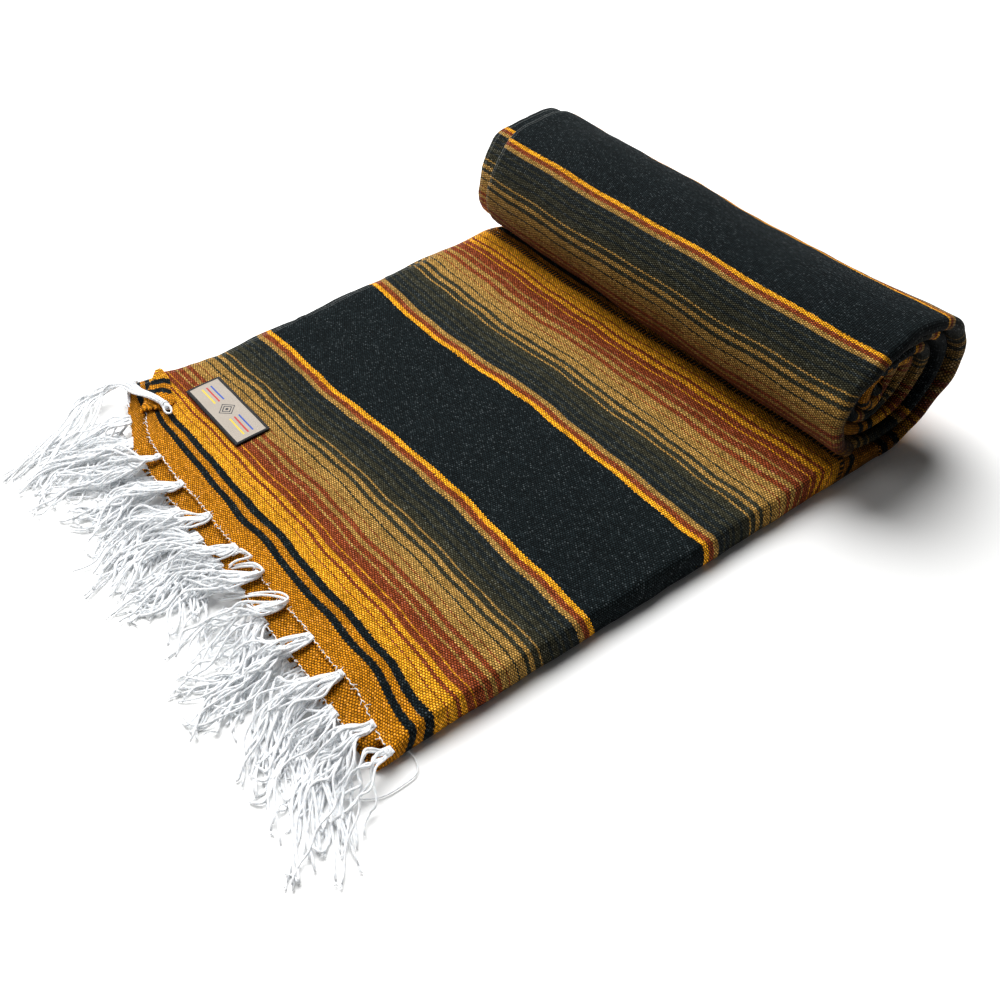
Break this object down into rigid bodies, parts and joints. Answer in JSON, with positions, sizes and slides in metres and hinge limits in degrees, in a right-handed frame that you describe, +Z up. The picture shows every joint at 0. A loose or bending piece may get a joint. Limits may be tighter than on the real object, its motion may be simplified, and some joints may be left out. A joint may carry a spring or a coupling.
{
  "type": "folded and rolled mexican serape blanket",
  "caption": "Striped woven blanket with a knotted fringe, folded lengthwise and half rolled up, used as a throw, mat, cover or wrap.",
  "frame": {"origin": "middle of the bounding box, on the surface that it lies on", "axes": "+X along the weft to the double fold, +Y along the warp from the fringe to the roll, +Z up"},
  "size_m": [0.4395, 0.5061, 0.1085],
  "materials": {
    "weave_outer": "striped weft-faced twill, matt, in charcoal, olive, tan, rust and golden yellow",
    "weave_inner": "the same cloth on the hidden plies, mustard where their fringed end shows",
    "label": "cream damask label with a black overlocked edge",
    "fringe": "white cotton warp yarns, two-ply, slightly lustrous"
  },
  "bodies": {
    "root": {"flat_outer_ply": "weave_outer", "flat_inner_plies": "weave_inner", "roll_outer_turn": "weave_outer", "roll_hidden_turns": "weave_inner", "corner_turn_back": "weave_outer", "label_patch": "label", "fringe": "fringe", "corner_tassel": "fringe"}
  },
  "joints": []
}
